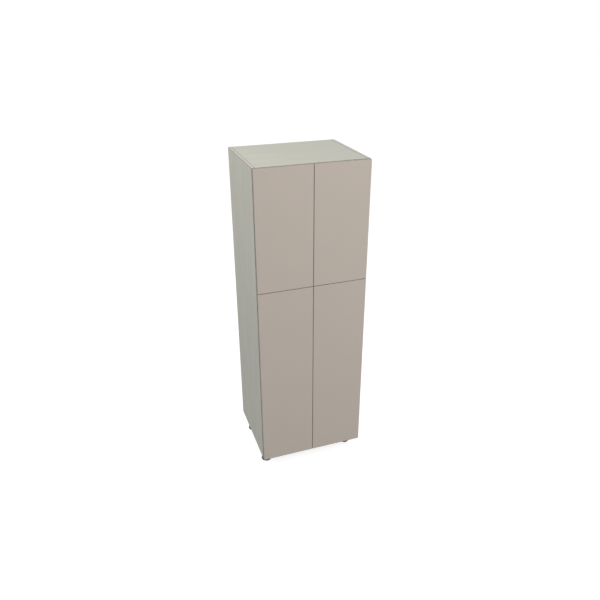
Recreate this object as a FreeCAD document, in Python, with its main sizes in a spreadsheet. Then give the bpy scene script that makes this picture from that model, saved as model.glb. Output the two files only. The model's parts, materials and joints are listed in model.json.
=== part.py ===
import FreeCAD, Part

import math
import os

import Sketcher
from FreeCAD import Placement, Rotation, Vector

# Tall cupboard unit with two upper and two lower flat doors on concealed hinges.
# X runs to the right, Y to the back and Z up. The origin is on the floor, in the middle of the unit's plan.

# ------------------------------------------------------------------ driving sizes, in millimetres

SIZES = {
    # carcass
    "unit_width": 700,
    "carcass_depth": 560,
    "carcass_height": 1995,
    "leg_height": 105,
    "board_thickness": 19,
    "shelf_thickness": 18,
    "back_thickness": 8,
    "back_inset": 16,
    "groove_depth": 8,
    "groove_clearance": 0.2,
    "split_height": 1253.5,
    "fit_clearance": 0.3,
    "drill_clearance": 0.05,
    # doors
    "door_thickness": 19,
    "door_gap": 2,
    "door_side_reveal": 1.5,
    "door_top_reveal": 1.5,
    "door_joint": 3,
    "door_edge_round": 1,
    # shelves on pins
    "shelf_front_inset": 25,
    "shelf_side_clearance": 1,
    "pin_row_front": 72,
    "pin_row_back": 70,
    "pin_pitch": 64,
    "lower_row_start": 147,
    "upper_row_start": 1363,
    "pin_radius": 2.5,
    "pin_depth": 9,
    "pin_reach": 9,
    "pin_collar_radius": 3.6,
    "pin_collar_thickness": 0.7,
    # dowels and cam fasteners
    "dowel_radius": 4,
    "dowel_board_depth": 22,
    "dowel_side_depth": 11,
    "dowel_end_gap": 0.4,
    "dowel_bevel": 0.6,
    "front_dowel_place": 80,
    "back_dowel_place": 375,
    "front_cam_place": 50,
    "back_cam_place": 410,
    "cam_radius": 7.5,
    "cam_depth": 14.2,
    "cam_end_distance": 34,
    "cam_recess": 0.4,
    "cam_cross_half_length": 4.2,
    "cam_cross_half_width": 0.8,
    "cam_cross_depth": 2,
    "bolt_hole_radius": 4,
    "bolt_thread_radius": 2.5,
    "bolt_shank_radius": 3,
    "bolt_neck_radius": 1.8,
    "bolt_neck_length": 4,
    "bolt_head_radius": 3,
    "bolt_head_length": 3.5,
    "cam_throat_clearance": 0.5,
    # concealed hinges; places count from the side panel's inner face and the carcass's front edge
    "hinge_inset": 100,
    "cup_radius": 17.5,
    "cup_edge_distance": 5,
    "cup_depth": 12.5,
    "cup_wall": 1,
    "cup_rim": 0.8,
    "cup_rim_lip": 1,
    "cup_block_gap": 7.1,
    "cup_notch_depth": 2,
    "cup_bearing_reach": 8,
    "cup_bearing_drop": 1,
    "cup_pin_reach": 2.8,
    "cup_pin_end_gap": 0.2,
    "cup_screw_spread": 45,
    "cup_screw_offset": 9.5,
    "cup_ear_radius": 5.5,
    "cup_pivot_edge": 10.35,
    "cup_pivot_depth": 5.63,
    "inner_cup_pivot_edge": 14.56,
    "inner_cup_pivot_depth": 3.78,
    "arm_pivot_out": 17,
    "arm_pivot_back": 12,
    "inner_arm_pivot_out": 14.4,
    "inner_arm_pivot_front": 4,
    "link_knee_out": 1.67,
    "link_knee_front": 11,
    "inner_link_knee_out": 0.2,
    "inner_link_knee_front": 10.9,
    "inner_link_half_width": 3.4,
    "layer_gap": 0.3,
    "sheet_metal": 1.4,
    "link_half_height": 2.2,
    "outer_pin_radius": 1.5,
    "inner_pin_radius": 1,
    "pivot_clearance": 0.05,
    "open_pivot_clearance": 2.4,
    "open_eye_wall": 1,
    "arm_nose_radius": 2.6,
    "arm_boss_radius": 3.4,
    "arm_length": 62,
    "arm_top": 13,
    "arm_floor": 4.6,
    "plate_thickness": 2.6,
    "plate_ridge_top": 10.4,
    "plate_ridge_start": 20,
    "plate_ridge_end": 56,
    "plate_start": 16,
    "plate_end": 58,
    "plate_half_width": 8.5,
    "plate_wing_half_length": 6,
    "plate_wing_reach": 22,
    "plate_screw_row": 37,
    "plate_screw_spread": 32,
    "arm_screw_step": 12,
    "arm_screw_depth": 9.4,
    # fasteners
    "euro_screw_radius": 3,
    "euro_screw_depth": 12,
    "wood_screw_radius": 1.75,
    "wood_screw_depth": 13,
    "screw_head_height": 2,
    "screw_head_radius": 3.4,
    "screw_head_bevel": 0.8,
    "screw_recess_depth": 1.2,
    "screw_recess_width": 0.9,
    "screw_recess_length": 3.8,
    "screw_hole_play": 0.2,
    # push latches
    "latch_from_middle": 34,
    "latch_setback": 1.2,
    "latch_length": 70,
    "latch_width": 18,
    "latch_height": 15,
    "latch_flange_width": 34,
    "latch_flange_thickness": 2.4,
    "latch_screw_place": 24,
    "latch_screw_edge": 4.4,
    "latch_ear_half_length": 5,
    "latch_bore_radius": 5.2,
    "latch_bore_depth": 50,
    "plunger_radius": 4.9,
    "plunger_length": 44,
    "plunger_bore_radius": 3,
    "plunger_bore_start": 13,
    "plunger_bevel": 0.8,
    "strike_radius": 9,
    "strike_thickness": 0.8,
    "strike_gap": 0.3,
    # legs
    "leg_side_inset": 53,
    "leg_front_inset": 115,
    "leg_back_inset": 88,
    "socket_radius": 36,
    "socket_flange": 4,
    "socket_sleeve_radius": 24,
    "socket_sleeve_length": 40,
    "leg_tube_radius": 20,
    "leg_tube_bottom": 25,
    "leg_stem_radius": 14,
    "leg_stem_top": 80,
    "foot_radius": 35,
    "foot_height": 9,
    "foot_cone_height": 6,
    "foot_cone_top_radius": 18,
    "socket_screw_circle": 30,
    "thread_clearance": 0.3,
    # wall brackets
    "bracket_spacing": 480,
    "bracket_width": 30,
    "bracket_leg": 42,
    "bracket_thickness": 2.5,
    "bracket_hole_radius": 3,
    "bracket_hole_drop": 28,
    "bracket_screw_place": 24,
    "bracket_screw_spread": 14,
    "wall_screw_hole_radius": 4,
    # back panel joint
    "strip_flange": 9,
    "strip_wall": 1.2,
}

# How far a cutting solid reaches past the faces it cuts.
OVERSHOOT = 1

LOWER_PIN_ROWS = 16
UPPER_PIN_ROWS = 9
LOWER_SHELVES = {"lower": 4, "middle": 8, "upper": 12}
UPPER_SHELF = 4

document = FreeCAD.newDocument("tall_cupboard")
sheet = document.addObject("Spreadsheet::Sheet", "sizes")
for row, (alias, value) in enumerate(SIZES.items(), start=1):
    sheet.set("A" + str(row), alias)
    sheet.set("B" + str(row), str(value))
    sheet.setAlias("B" + str(row), alias)
document.recompute()


class Length:
    """A length worked out from the sheet: its number, and the expression that gives it."""

    def __init__(self, text, number):
        self.text = text
        self.number = number

    def joined(self, other, sign, number):
        return Length("(" + self.text + " " + sign + " " + as_length(other).text + ")", number)

    def __add__(self, other):
        return self.joined(other, "+", self.number + as_length(other).number)

    def __sub__(self, other):
        return self.joined(other, "-", self.number - as_length(other).number)

    def __mul__(self, factor):
        return Length("(" + self.text + " * " + str(factor) + ")", self.number * factor)

    def __truediv__(self, divisor):
        return Length("(" + self.text + " / " + str(divisor) + ")", self.number / divisor)

    def __neg__(self):
        return Length("(0 mm - " + self.text + ")", -self.number)

    def __float__(self):
        return float(self.number)


def as_length(value):
    if isinstance(value, Length):
        return value
    return Length("(" + str(value) + " mm)", float(value))


def size(alias):
    """The named size of the sheet."""
    return Length("sizes." + alias + " * 1 mm", float(sheet.get(alias)))


NOTHING = as_length(0)

# ------------------------------------------------------------------ sizes that follow from the driving ones

unit_width = size("unit_width")
carcass_depth = size("carcass_depth")
carcass_height = size("carcass_height")
floor_level = size("leg_height")
board = size("board_thickness")
shelf_thickness = size("shelf_thickness")
clearance = size("fit_clearance")
drill = size("drill_clearance")
door_thickness = size("door_thickness")
door_gap = size("door_gap")
door_joint = size("door_joint")

overall_depth = carcass_depth + door_gap + door_thickness
front_edge = door_thickness + door_gap - overall_depth / 2
door_back = front_edge - door_gap
inner_width = unit_width - board * 2
inner_left = board - unit_width / 2
inner_right = -inner_left

door_width = (unit_width - size("door_side_reveal") * 2 - door_joint) / 2
lower_door_height = size("split_height") - door_joint / 2
upper_door_start = size("split_height") + door_joint / 2
upper_door_height = carcass_height - size("door_top_reveal") - upper_door_start
door_left = size("door_side_reveal") - unit_width / 2
door_right = door_joint / 2

back_front = carcass_depth - size("back_inset") - size("back_thickness")
groove_start = back_front - size("groove_clearance")
groove_width = size("back_thickness") + size("groove_clearance") * 2
middle_shelf_depth = groove_start - size("strip_wall") - clearance
middle_level = size("split_height") - board / 2
top_level = carcass_height - board
shelf_depth = back_front - size("shelf_front_inset") - clearance

back_width = inner_width + size("groove_depth") * 2 - clearance * 2
strip_web = size("strip_wall")
lower_back_start = board - size("groove_depth") + clearance
back_joint = size("split_height")
lower_back_height = back_joint - strip_web / 2 - clearance - lower_back_start
upper_back_start = back_joint + strip_web / 2 + clearance
upper_back_height = top_level + size("groove_depth") - clearance - upper_back_start
groove_height = upper_back_start + upper_back_height + clearance - (lower_back_start - clearance)

board_levels = {"bottom": NOTHING, "middle": middle_level, "top": top_level}
cam_places = [size("front_cam_place"), size("back_cam_place")]
dowel_places = [size("front_dowel_place"), size("back_dowel_place")]

hinge_inset = size("hinge_inset")
lower_hinges = [hinge_inset, lower_door_height / 2, lower_door_height - hinge_inset]
upper_hinges = [
    upper_door_start + hinge_inset,
    upper_door_start + upper_door_height - hinge_inset,
]
cup_centre_edge = size("cup_edge_distance") + size("cup_radius")
cup_bore_radius = size("cup_radius") + drill
cup_bore_depth = size("cup_depth") + clearance

pin_back_place = carcass_depth - size("pin_row_back")

# ------------------------------------------------------------------ drawing helpers


def bind(thing, name, value):
    """Ties one property of an object to a length."""
    thing.setExpression(name, as_length(value).text)


def body(label, base, rotation=Rotation()):
    """A new body with a name of its own, standing at a place given by three lengths."""
    made = document.addObject("PartDesign::Body", label)
    made.Label = label
    made.Placement = Placement(Vector(0, 0, 0), rotation)
    for axis, value in zip("xyz", base):
        bind(made, "Placement.Base." + axis, value)
    return made


def sketch_on(part, role, offset):
    """A sketch on one of the body's origin planes, moved by three lengths in the plane's own axes."""
    sketch = part.newObject("Sketcher::SketchObject", part.Name + "_sketch")
    planes = [f for f in part.Origin.OriginFeatures if f.Role == role]
    sketch.AttachmentSupport = [(planes[0], "")]
    sketch.MapMode = "FlatFace"
    for axis, value in zip("xyz", offset):
        bind(sketch, "AttachmentOffset.Base." + axis, value)
    return sketch


def hold(sketch, kind, point, value, name):
    """Dimensions a point of the sketch from the sketch's origin."""
    if float(value) == 0:
        axis = -2 if kind == "DistanceX" else -1
        sketch.addConstraint(Sketcher.Constraint("PointOnObject", point[0], point[1], axis))
        return
    constraint = Sketcher.Constraint(kind, -1, 1, point[0], point[1], float(value))
    index = sketch.addConstraint(constraint)
    sketch.renameConstraint(index, name)
    bind(sketch, "Constraints." + name, value)


def rectangle(sketch, across, along):
    """A rectangle from the sketch's origin."""
    wide, high = float(across), float(along)
    corners = [Vector(0, 0), Vector(wide, 0), Vector(wide, high), Vector(0, high)]
    for start, end in zip(corners, corners[1:] + corners[:1]):
        sketch.addGeometry(Part.LineSegment(start, end))
    for side in range(4):
        sketch.addConstraint(Sketcher.Constraint("Coincident", side, 2, (side + 1) % 4, 1))
    for side, direction in enumerate(["Horizontal", "Vertical", "Horizontal", "Vertical"]):
        sketch.addConstraint(Sketcher.Constraint(direction, side))
    sketch.addConstraint(Sketcher.Constraint("Coincident", 0, 1, -1, 1))
    hold(sketch, "DistanceX", (1, 2), across, "across")
    hold(sketch, "DistanceY", (1, 2), along, "along")


def circles(sketch, radius, centres):
    """Circles of one radius, at places counted from the sketch's origin."""
    for across, along in centres:
        centre = Vector(float(across), float(along))
        index = sketch.addGeometry(Part.Circle(centre, Vector(0, 0, 1), float(radius)))
        tag = str(index)
        hold(sketch, "DistanceX", (index, 3), across, "across" + tag)
        hold(sketch, "DistanceY", (index, 3), along, "along" + tag)
        round_size = Sketcher.Constraint("Radius", index, float(radius))
        sketch.renameConstraint(sketch.addConstraint(round_size), "radius" + tag)
        bind(sketch, "Constraints.radius" + tag, radius)


def pad(part, sketch, length):
    made = part.newObject("PartDesign::Pad", part.Name + "_pad")
    made.Profile = sketch
    bind(made, "Length", length)
    sketch.Visibility = False
    return made


def pocket(part, sketch, depth, reverse=False):
    """Cuts the sketch into the body, against its normal or, reversed, along it."""
    document.recompute()
    before = part.Shape.Volume
    made = part.newObject("PartDesign::Pocket", part.Name + "_pocket")
    made.Profile = sketch
    made.Reversed = reverse
    bind(made, "Length", depth)
    document.recompute()
    if part.Shape.Volume >= before:
        raise RuntimeError(part.Label + ": a cut removed nothing")
    return made


def repeat(part, feature, role, pitch, count):
    """Repeats a cut along one of the body's axes."""
    pattern = part.newObject("PartDesign::LinearPattern", part.Name + "_row")
    pattern.Originals = [feature]
    axes = [f for f in part.Origin.OriginFeatures if f.Role == role]
    pattern.Direction = (axes[0], [""])
    pattern.Mode = "Spacing"
    bind(pattern, "Offset", pitch)
    pattern.Occurrences = count
    part.Tip = pattern
    return pattern


def mirror_ends(part, features):
    """Repeats cuts on the other end of a board that is centred on X."""
    mirrored = part.newObject("PartDesign::Mirrored", part.Name + "_mirrored")
    mirrored.Originals = features
    planes = [f for f in part.Origin.OriginFeatures if f.Role == "YZ_Plane"]
    mirrored.MirrorPlane = (planes[0], [""])
    part.Tip = mirrored
    return mirrored


nodes = {}


def keep(label, thing):
    nodes[label] = thing


def group(label, shapes):
    """One node made of a set of like pieces, each a solid of its own."""
    made = document.addObject("Part::Feature", label)
    made.Label = label
    made.Shape = Part.makeCompound(shapes) if len(shapes) > 1 else shapes[0]
    made.Placement = Placement()
    keep(label, made)
    return made


# ------------------------------------------------------------------ carcass boards

# They turn a body so that its X and Y run to the back and up, or to the right and up.
SIDE_TURN = Rotation(Vector(1, 1, 1), 120)
DOOR_TURN = Rotation(Vector(1, 0, 0), 90)


def level_of(name):
    return board_levels[name] + board / 2


def drilled(part, face, inward, radius, depth, places):
    """Blind holes in a side panel's inner face, at places counted along its depth and its height."""
    first_across, first_along = places[0]
    sketch = sketch_on(part, "XY_Plane", (first_across, first_along, face))
    centres = [(across - first_across, along - first_along) for across, along in places]
    centres[0] = (NOTHING, NOTHING)
    circles(sketch, radius, centres)
    return pocket(part, sketch, depth, reverse=inward)


def side_panel(label, left_side):
    """A full-height side: pin rows, hinge plate holes, fastener holes and the back's groove inside."""
    outer = -(unit_width / 2) if left_side else inner_right
    part = body(label, (outer, front_edge, floor_level), SIDE_TURN)
    outline = sketch_on(part, "XY_Plane", (NOTHING, NOTHING, NOTHING))
    rectangle(outline, carcass_depth, carcass_height)
    pad(part, outline, board)
    face = board if left_side else NOTHING
    inward = not left_side
    groove = sketch_on(part, "XY_Plane", (groove_start, lower_back_start - clearance, face))
    rectangle(groove, groove_width, groove_height)
    pocket(part, groove, size("groove_depth"), reverse=inward)
    hinges = lower_hinges + upper_hinges
    half_spread = size("plate_screw_spread") / 2
    row = size("plate_screw_row")
    plate_holes = []
    for height in hinges:
        plate_holes.append((row, height - half_spread))
        plate_holes.append((row, height + half_spread))
    hole = size("euro_screw_radius") + drill
    drilled(part, face, inward, hole, size("euro_screw_depth") + clearance, plate_holes)
    dowel_holes = []
    bolt_holes = []
    for name in board_levels:
        dowel_holes += [(place, level_of(name)) for place in dowel_places]
        bolt_holes += [(place, level_of(name)) for place in cam_places]
    hole = size("dowel_radius") + drill
    drilled(part, face, inward, hole, size("dowel_side_depth"), dowel_holes)
    hole = size("bolt_thread_radius") + drill
    drilled(part, face, inward, hole, size("dowel_side_depth"), bolt_holes)
    pin_hole = size("pin_radius") + drill
    for start, count in (
        (size("lower_row_start"), LOWER_PIN_ROWS),
        (size("upper_row_start"), UPPER_PIN_ROWS),
    ):
        pair = [(size("pin_row_front"), start), (pin_back_place, start)]
        holes = drilled(part, face, inward, pin_hole, size("pin_depth") + clearance, pair)
        repeat(part, holes, "Y_Axis", size("pin_pitch"), count)
    keep(label, part)


def cross_board(label, level, depth, groove_face):
    """A board between the sides, bored for dowels and cams, with a groove for the back if a face is given."""
    part = body(label, (NOTHING, front_edge, floor_level + level))
    half = inner_width / 2
    outline = sketch_on(part, "XY_Plane", (-half, NOTHING, NOTHING))
    rectangle(outline, inner_width, depth)
    pad(part, outline, board)
    if groove_face is not None:
        groove = sketch_on(part, "XY_Plane", (-half, groove_start, groove_face))
        rectangle(groove, inner_width, groove_width)
        pocket(part, groove, size("groove_depth"), reverse=float(groove_face) == 0)
    cut = []
    for radius, reach, places in (
        (size("dowel_radius") + drill, size("dowel_board_depth"), dowel_places),
        (size("bolt_hole_radius"), size("cam_end_distance"), cam_places),
    ):
        drawn = sketch_on(part, "YZ_Plane", (places[0], board / 2, -half))
        circles(drawn, radius, [(NOTHING, NOTHING), (places[1] - places[0], NOTHING)])
        cut.append(pocket(part, drawn, reach, reverse=True))
    drawn = sketch_on(part, "XY_Plane", (size("cam_end_distance") - half, cam_places[0], NOTHING))
    circles(drawn, size("cam_radius"), [(NOTHING, NOTHING), (NOTHING, cam_places[1] - cam_places[0])])
    cut.append(pocket(part, drawn, size("cam_depth"), reverse=True))
    mirror_ends(part, cut)
    keep(label, part)
    return part


def screw_holes(part, face, reverse, places):
    """Pilot holes for wood screws in a cross board."""
    for across, along in places:
        drawn = sketch_on(part, "XY_Plane", (across, along, face))
        circles(drawn, size("wood_screw_radius") + drill, [(NOTHING, NOTHING)])
        pocket(part, drawn, size("wood_screw_depth") + clearance, reverse=reverse)


latch_places = [-size("latch_from_middle"), size("latch_from_middle")]
latch_screw_back = size("latch_setback") + size("latch_screw_place")
latch_half_flange = size("latch_flange_width") / 2 - size("latch_screw_edge")
latch_screws = []
for middle in latch_places:
    latch_screws.append((middle - latch_half_flange, latch_screw_back))
    latch_screws.append((middle + latch_half_flange, latch_screw_back))

bracket_middles = [-size("bracket_spacing") / 2, size("bracket_spacing") / 2]
bracket_back = back_front - clearance
bracket_screws = []
for middle in bracket_middles:
    for side in (-1, 1):
        across = middle + size("bracket_screw_spread") * (side / 2)
        bracket_screws.append((across, bracket_back - size("bracket_screw_place")))

leg_places = {
    "front_left": (-unit_width / 2 + size("leg_side_inset"), size("leg_front_inset")),
    "front_right": (unit_width / 2 - size("leg_side_inset"), size("leg_front_inset")),
    "back_left": (-unit_width / 2 + size("leg_side_inset"), carcass_depth - size("leg_back_inset")),
    "back_right": (unit_width / 2 - size("leg_side_inset"), carcass_depth - size("leg_back_inset")),
}
socket_reach = size("socket_screw_circle") / math.sqrt(2)
leg_screws = []
for across, along in leg_places.values():
    for right, back in ((-1, -1), (1, -1), (1, 1), (-1, 1)):
        leg_screws.append((across + socket_reach * right, along + socket_reach * back))

side_panel("side_panel_left", True)
side_panel("side_panel_right", False)
top_panel = cross_board("top_panel", top_level, carcass_depth, NOTHING)
screw_holes(top_panel, NOTHING, True, latch_screws + bracket_screws)
bottom_panel = cross_board("bottom_panel", NOTHING, carcass_depth, board)
screw_holes(bottom_panel, NOTHING, True, leg_screws)
middle_shelf = cross_board("middle_shelf", middle_level, middle_shelf_depth, None)
screw_holes(middle_shelf, NOTHING, True, latch_screws)

# ------------------------------------------------------------------ back panels and the strip that joins them


def back_panel(label, start, height):
    """A thin board in the grooves, seen from the front as X across and Z up."""
    place = (-back_width / 2, front_edge + back_front + size("back_thickness"), floor_level + start)
    part = body(label, place, DOOR_TURN)
    outline = sketch_on(part, "XY_Plane", (NOTHING, NOTHING, NOTHING))
    rectangle(outline, back_width, height)
    pad(part, outline, size("back_thickness"))
    keep(label, part)
    return part


back_panel("back_panel_lower", lower_back_start, lower_back_height)
upper_back = back_panel("back_panel_upper", upper_back_start, upper_back_height)
wall_hole_level = top_level - size("bracket_hole_drop")
for middle in bracket_middles:
    hole_place = (middle + back_width / 2, wall_hole_level - upper_back_start, NOTHING)
    drawn = sketch_on(upper_back, "XY_Plane", hole_place)
    circles(drawn, size("wall_screw_hole_radius"), [(NOTHING, NOTHING)])
    pocket(upper_back, drawn, size("back_thickness"), reverse=True)


def joint_strip():
    """A plastic strip of H section that holds the edges of both back panels."""
    flange = size("strip_flange")
    wall = size("strip_wall")
    gap = groove_width
    base = (clearance - inner_width / 2, front_edge + groove_start, floor_level + back_joint)
    part = body("back_joint_strip", base, SIDE_TURN)
    web = sketch_on(part, "XY_Plane", (NOTHING, -wall / 2, NOTHING))
    rectangle(web, gap, wall)
    reach = inner_width - clearance * 2
    pad(part, web, reach)
    for across in (gap, -wall):
        leg = sketch_on(part, "XY_Plane", (across, -flange, NOTHING))
        rectangle(leg, wall, flange * 2)
        pad(part, leg, reach)
    keep("back_joint_strip", part)


joint_strip()

# ------------------------------------------------------------------ shelves and their pins


def shelf(label, level):
    """A loose shelf that lies on four pins."""
    wide = inner_width - size("shelf_side_clearance") * 2
    place = (-wide / 2, front_edge + size("shelf_front_inset"), floor_level + level)
    part = body(label, place)
    outline = sketch_on(part, "XY_Plane", (NOTHING, NOTHING, NOTHING))
    rectangle(outline, wide, shelf_depth)
    pad(part, outline, shelf_thickness)
    keep(label, part)


pin_levels = []
for name, step in LOWER_SHELVES.items():
    pin_level = size("lower_row_start") + size("pin_pitch") * step
    pin_levels.append(pin_level)
    shelf("shelf_" + name, pin_level + size("pin_radius") + drill)
pin_level = size("upper_row_start") + size("pin_pitch") * UPPER_SHELF
pin_levels.append(pin_level)
shelf("shelf_top", pin_level + size("pin_radius") + drill)

# ------------------------------------------------------------------ doors


def door(label, left, start, height, hinges, left_side):
    """A flat slab with softened front edges, bored from behind for the hinge cups and their screws."""
    part = body(label, (left, door_back, floor_level + start), DOOR_TURN)
    outline = sketch_on(part, "XY_Plane", (NOTHING, NOTHING, NOTHING))
    rectangle(outline, door_width, height)
    slab = pad(part, outline, door_thickness)
    document.recompute()
    softened = part.newObject("PartDesign::Fillet", part.Name + "_edges")
    front_edges = []
    for index, edge in enumerate(slab.Shape.Edges, start=1):
        if all(abs(corner.Z - float(door_thickness)) < 0.01 for corner in edge.Vertexes):
            front_edges.append("Edge" + str(index))
    softened.Base = (slab, front_edges)
    bind(softened, "Radius", size("door_edge_round"))
    cup_across = cup_centre_edge if left_side else door_width - cup_centre_edge
    inward = 1 if left_side else -1
    screw_across = cup_across + size("cup_screw_offset") * inward
    half = size("cup_screw_spread") / 2
    heights = [hinge - start for hinge in hinges]
    cups = sketch_on(part, "XY_Plane", (cup_across, heights[0], NOTHING))
    steps = [(NOTHING, NOTHING)] + [(NOTHING, other - heights[0]) for other in heights[1:]]
    circles(cups, cup_bore_radius, steps)
    pocket(part, cups, cup_bore_depth, reverse=True)
    first = heights[0] - half
    holes = sketch_on(part, "XY_Plane", (screw_across, first, NOTHING))
    steps = []
    for height in heights:
        steps.append((NOTHING, height - half - first))
        steps.append((NOTHING, height + half - first))
    steps[0] = (NOTHING, NOTHING)
    circles(holes, size("wood_screw_radius") + drill, steps)
    pocket(part, holes, size("wood_screw_depth") + clearance, reverse=True)
    keep(label, part)


DOORS = {
    "lower_left": (door_left, NOTHING, lower_door_height, lower_hinges, True),
    "lower_right": (door_right, NOTHING, lower_door_height, lower_hinges, False),
    "upper_left": (door_left, upper_door_start, upper_door_height, upper_hinges, True),
    "upper_right": (door_right, upper_door_start, upper_door_height, upper_hinges, False),
}
for corner, (left, start, height, hinges, left_side) in DOORS.items():
    door("door_" + corner, left, start, height, hinges, left_side)

document.recompute()

# ------------------------------------------------------------------ plain solids for hardware

RIGHT = Vector(1, 0, 0)
BACK = Vector(0, 1, 0)
UP = Vector(0, 0, 1)


def number(alias):
    return float(size(alias))


def rod(radius, length, start, direction):
    return Part.makeCylinder(radius, length, start, direction)


def block(one, other):
    """A box between two opposite corners."""
    low = Vector(min(one.x, other.x), min(one.y, other.y), min(one.z, other.z))
    high = Vector(max(one.x, other.x), max(one.y, other.y), max(one.z, other.z))
    spans = high - low
    return Part.makeBox(spans.x, spans.y, spans.z, low)


def screw(radius, depth, place, into):
    """A round-headed screw with a cross recess, its head seated on a face at the place given."""
    head_height = number("screw_head_height")
    head = rod(number("screw_head_radius"), head_height, place, -into)
    top = [edge for edge in head.Edges if abs((edge.CenterOfMass - place).dot(into) + head_height) < 1e-6]
    head = head.makeChamfer(number("screw_head_bevel"), top[:1])
    made = head.fuse(rod(radius, depth, place, into)).removeSplitter()
    side = RIGHT if abs(into.z) > 0 else UP
    other = into.cross(side)
    recess_end = place - into * (head_height - number("screw_recess_depth"))
    recess_start = place - into * (head_height + OVERSHOOT)
    half_length = number("screw_recess_length") / 2
    half_width = number("screw_recess_width") / 2
    for along, across in ((side, other), (other, side)):
        reach = along * half_length + across * half_width
        made = made.cut(block(recess_start - reach, recess_end + reach))
    return made


def bar(points, radius, low, high):
    """A plate with round ends along a line of points in the XY plane, between two heights."""
    made = None
    for start, end in zip(points, points[1:]):
        reach = end - start
        side = Vector(-reach.y, reach.x, 0).normalize() * radius
        corners = [start + side, start - side, end - side, end + side, start + side]
        straight = Part.Face(Part.makePolygon(corners)).extrude(UP * (high - low))
        made = straight if made is None else made.fuse(straight)
    for point in points:
        made = made.fuse(rod(radius, high - low, point, UP))
    made = made.removeSplitter()
    made.translate(UP * low)
    return made


def both_layers(low, high, draw):
    """The same flat shape above and below the hinge's middle plane."""
    return [draw(low, high), draw(-high, -low)]


# ------------------------------------------------------------------ hinge pieces
# They are drawn round a place where the side panel's inner face meets the carcass's front edge, at the
# height of the hinge's middle. X points into the cupboard and Y to its back.

cup_x = float(size("door_side_reveal") + cup_centre_edge - board)
door_face = -float(door_gap)
cup_bottom = door_face - number("cup_depth")
edge_x = float(size("door_side_reveal") - board)

outer_cup_pivot = Vector(edge_x + number("cup_pivot_edge"), door_face - number("cup_pivot_depth"), 0)
inner_cup_pivot = Vector(
    edge_x + number("inner_cup_pivot_edge"), door_face - number("inner_cup_pivot_depth"), 0
)
outer_arm_pivot = Vector(number("arm_pivot_out"), number("arm_pivot_back"), 0)
inner_arm_pivot = Vector(number("inner_arm_pivot_out"), -number("inner_arm_pivot_front"), 0)
outer_knee = Vector(number("link_knee_out"), -number("link_knee_front"), 0)
inner_knee = Vector(number("inner_link_knee_out"), -number("inner_link_knee_front"), 0)

inner_half = number("inner_link_half_width")
layer_gap = number("layer_gap")
metal = number("sheet_metal")
arm_low = inner_half + layer_gap
arm_high = arm_low + metal
link_low = arm_high + layer_gap
link_high = link_low + metal
pivot_clearance = number("pivot_clearance")
outer_pin = number("outer_pin_radius")
inner_pin = number("inner_pin_radius")
link_radius = number("link_half_height")
wood_screw = number("wood_screw_radius")
screw_pass = wood_screw + number("screw_hole_play")
arm_screw_place = number("plate_screw_row") + number("arm_screw_step")


def outer_links():
    """Two cranked plates, one each side of the arm."""

    def draw(low, high):
        plate = bar([outer_cup_pivot, outer_knee, outer_arm_pivot], link_radius, low, high)
        for pivot in (outer_cup_pivot, outer_arm_pivot):
            plate = plate.cut(rod(outer_pin + pivot_clearance, high - low, pivot + UP * low, UP))
        return plate

    return both_layers(link_low, link_high, draw)


def inner_link():
    """The cranked link inside the arm. Its eye round the cup's inner pin has room to spare."""
    low, high = -inner_half, inner_half
    points = [inner_cup_pivot, inner_knee, inner_arm_pivot]
    plate = bar(points, link_radius - layer_gap, low, high)
    eye = inner_pin + number("open_pivot_clearance")
    plate = plate.fuse(rod(eye + number("open_eye_wall"), high - low, inner_cup_pivot + UP * low, UP))
    plate = plate.fuse(rod(link_radius, high - low, inner_arm_pivot + UP * low, UP))
    plate = plate.cut(rod(eye, high - low, inner_cup_pivot + UP * low, UP))
    hole = rod(inner_pin + pivot_clearance, high - low, inner_arm_pivot + UP * low, UP)
    return [plate.cut(hole).removeSplitter()]


def hinge_arm():
    """A channel of pressed steel: two cheeks that carry the links, and a web over the mounting plate."""
    floor, top, end = number("arm_floor"), number("arm_top"), number("arm_length")
    boss = number("arm_boss_radius")
    neck = outer_arm_pivot.y + boss
    slope = neck + (outer_arm_pivot.x + boss - top)
    outline = [
        Vector(floor, neck, 0),
        Vector(floor, end, 0),
        Vector(top, end, 0),
        Vector(top, slope, 0),
        Vector(outer_arm_pivot.x, neck, 0),
    ]

    def draw(low, high):
        rear = Part.Face(Part.makePolygon(outline + outline[:1])).extrude(UP * (high - low))
        rear.translate(UP * low)
        cheek = rear.fuse(bar([inner_arm_pivot, outer_arm_pivot], number("arm_nose_radius"), low, high))
        cheek = cheek.fuse(rod(boss, high - low, outer_arm_pivot + UP * low, UP))
        heel = [Vector(floor + boss, neck + boss, 0), outer_arm_pivot]
        cheek = cheek.fuse(bar(heel, boss, low, high))
        for pivot, pin in ((outer_arm_pivot, outer_pin), (inner_arm_pivot, inner_pin)):
            cheek = cheek.cut(rod(pin + pivot_clearance, high - low, pivot + UP * low, UP))
        return cheek

    web_low = Vector(top - metal, slope, -arm_high)
    made = block(web_low, Vector(top, end, arm_high))
    for cheek in both_layers(arm_low, arm_high, draw):
        made = made.fuse(cheek)
    screw_start = Vector(top - metal - OVERSHOOT, arm_screw_place, 0)
    hole = rod(screw_pass, metal + OVERSHOOT * 2, screw_start, RIGHT)
    return [made.cut(hole).removeSplitter()]


def arm_pins():
    """The arm's two hinge pins: a long one for the outer links and a short one for the inner link."""
    long_pin = rod(outer_pin, link_high * 2, outer_arm_pivot - UP * link_high, UP)
    short_pin = rod(inner_pin, arm_high * 2, inner_arm_pivot - UP * arm_high, UP)
    return [long_pin, short_pin]


def arm_screws():
    """The screw that holds the arm down on its mounting plate."""
    place = Vector(number("arm_top"), arm_screw_place, 0)
    return [screw(wood_screw, number("arm_screw_depth"), place, -RIGHT)]


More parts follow.
